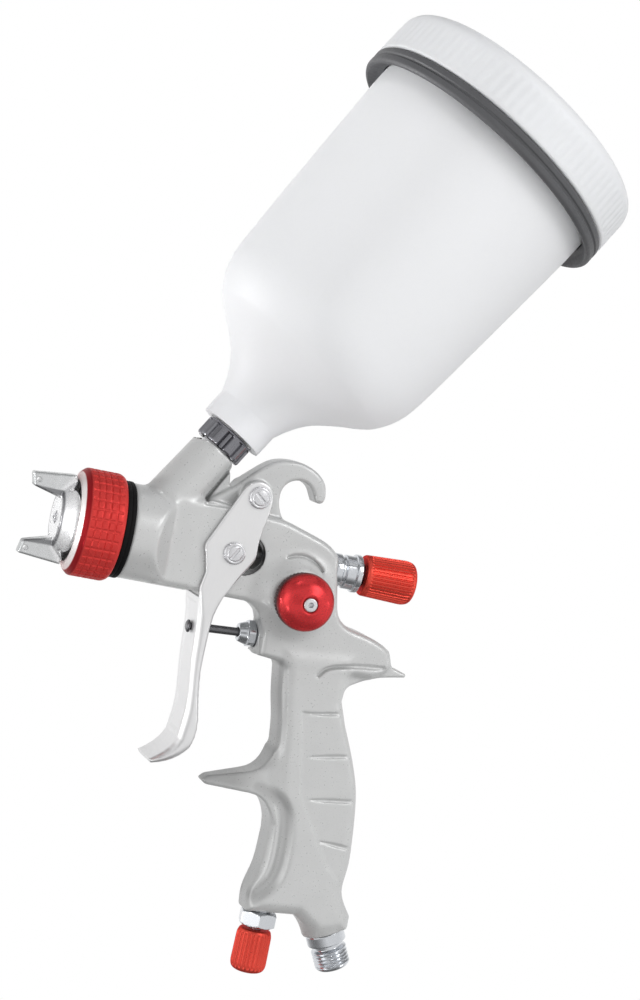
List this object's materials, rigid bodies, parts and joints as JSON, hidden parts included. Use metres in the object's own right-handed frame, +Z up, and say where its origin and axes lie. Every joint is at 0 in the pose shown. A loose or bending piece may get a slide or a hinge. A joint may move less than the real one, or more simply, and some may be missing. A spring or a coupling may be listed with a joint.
{
  "type": "hvlp spray gun",
  "caption": "Gravity-feed spray gun: cast pistol body with hook, trigger, red control knobs and ring, horned air cap, and a tilted translucent paint cup with a screw lid.",
  "frame": {"origin": "the top of the inner arch of the hanging hook, on the gun's middle plane, where a rail or peg holds it up", "axes": "+Z up, -X the way the gun sprays with its barrel level, +Y the gun's right-hand side; the fan control knob is on the -Y side"},
  "size_m": [0.1928, 0.1072, 0.3509],
  "materials": {
    "cast_body": "fine blasted silver-grey finish",
    "steel": "satin",
    "chrome": "bright plated",
    "brass": "turned",
    "red_anodised": "red, satin",
    "black": "matt",
    "nylon": "translucent white, satin",
    "seal": "matt dark grey",
    "ptfe": "matt white"
  },
  "bodies": {
    "gun": {"gun_body": "cast_body", "head_collar": "black", "fluid_nozzle": "steel", "needle_packing": "ptfe", "needle_packing_nut": "brass", "needle_spring": "steel", "fluid_adjuster_nut": "chrome", "air_valve_nut": "chrome", "air_valve_packing": "ptfe", "air_valve_seat": "brass", "air_valve_spring": "steel", "fan_control_bush": "brass", "air_flow_valve_body": "chrome", "air_inlet_fitting": "chrome"},
    "trigger": {"trigger": "steel", "trigger_pivot_pin": "steel", "trigger_pivot_screw": "steel", "trigger_cross_pin": "steel", "trigger_cross_pin_screw": "steel", "trigger_rivet": "steel"},
    "needle": {"fluid_needle": "steel", "needle_collar": "steel"},
    "valve_stem": {"air_valve_stem": "steel", "air_valve_poppet": "brass"},
    "fluid_stem": {"fluid_knob_stem": "steel"},
    "fluid_knob": {"fluid_control_knob": "red_anodised"},
    "fan_spindle": {"fan_control_spindle": "steel"},
    "fan_knob": {"fan_control_knob": "red_anodised", "fan_knob_screw": "steel"},
    "air_spindle": {"air_flow_spindle": "steel"},
    "air_knob": {"air_flow_knob": "red_anodised"},
    "cap_seat": {"air_cap_seal": "ptfe"},
    "air_cap": {"air_cap": "chrome"},
    "air_cap_ring": {"air_cap_ring": "red_anodised"},
    "cup": {"cup": "nylon", "cup_connector": "steel", "cup_filter": "ptfe", "cup_seal_ring": "seal"},
    "cup_nut": {"cup_nut": "chrome"},
    "cup_lid": {"cup_lid": "nylon"}
  },
  "joints": [
    {"name": "trigger_pull", "type": "hinge", "parent": "gun", "child": "trigger", "pos_m": [-0.0155, 0, -0.0083], "axis": [0, -1, 0], "range_deg": [0, 10], "stiffness_Nm_per_rad": 2, "springref_deg": -11.46},
    {"name": "needle_slide", "type": "slide", "parent": "gun", "child": "needle", "axis": [1, 0, 0], "range_m": [0, 0.0039], "deforming": ["needle_spring"]},
    {"name": "valve_slide", "type": "slide", "parent": "gun", "child": "valve_stem", "axis": [0.9986, 0, 0.0523], "range_m": [0, 0.009], "deforming": ["air_valve_spring"]},
    {"name": "fluid_knob_travel", "type": "slide", "parent": "gun", "child": "fluid_stem", "axis": [-1, 0, 0], "range_m": [-0.003, 0.001]},
    {"name": "fluid_knob_turn", "type": "hinge", "parent": "fluid_stem", "child": "fluid_knob", "pos_m": [0.0395, 0, -0.0293], "axis": [-1, 0, 0], "range_deg": [-1081, 361]},
    {"name": "fan_knob_travel", "type": "slide", "parent": "gun", "child": "fan_spindle", "axis": [0, 1, 0], "range_m": [-0.003, 0.0005]},
    {"name": "fan_knob_turn", "type": "hinge", "parent": "fan_spindle", "child": "fan_knob", "pos_m": [0.0055, -0.02, -0.0408], "axis": [0, 1, 0], "range_deg": [-1081, 181]},
    {"name": "air_knob_travel", "type": "slide", "parent": "gun", "child": "air_spindle", "axis": [0, 0, 1], "range_m": [-0.003, 0.0005]},
    {"name": "air_knob_turn", "type": "hinge", "parent": "air_spindle", "child": "air_knob", "pos_m": [0.02, 0, -0.1713], "axis": [0, 0, 1], "range_deg": [-1081, 181]},
    {"name": "cap_travel", "type": "slide", "parent": "gun", "child": "cap_seat", "axis": [-1, 0, 0], "range_m": [0, 0.006]},
    {"name": "cap_ring_turn", "type": "hinge", "parent": "cap_seat", "child": "air_cap_ring", "pos_m": [-0.0705, 0, -0.0293], "axis": [-1, 0, 0], "range_deg": [0, 1441]},
    {"name": "air_cap_turn", "type": "hinge", "parent": "cap_seat", "child": "air_cap", "pos_m": [-0.0805, 0, -0.0293], "axis": [-1, 0, 0], "continuous": true},
    {"name": "cup_travel", "type": "slide", "parent": "gun", "child": "cup", "axis": [0.5225, 0, 0.8526], "range_m": [0, 0.0075]},
    {"name": "cup_nut_turn", "type": "hinge", "parent": "cup", "child": "cup_nut", "pos_m": [-0.03001, 0, 0.00822], "axis": [0.5225, 0, 0.8526], "range_deg": [0, 1801]},
    {"name": "lid_lift", "type": "slide", "parent": "cup", "child": "cup_lid", "axis": [0.5225, 0, 0.8526], "range_m": [0, 0.12]}
  ],
  "couplings": [
    {"joint": "needle_slide", "follows": "trigger_pull", "m_per_rad": 0.0213},
    {"joint": "valve_slide", "follows": "trigger_pull", "m_per_rad": 0.0497},
    {"joint": "fluid_knob_turn", "follows": "fluid_knob_travel", "rad_per_m": 6283.2},
    {"joint": "fan_knob_turn", "follows": "fan_knob_travel", "rad_per_m": 6283.2},
    {"joint": "air_knob_turn", "follows": "air_knob_travel", "rad_per_m": 6283.2},
    {"joint": "cap_ring_turn", "follows": "cap_travel", "rad_per_m": 4188.8},
    {"joint": "cup_nut_turn", "follows": "cup_travel", "rad_per_m": 4188.8}
  ]
}
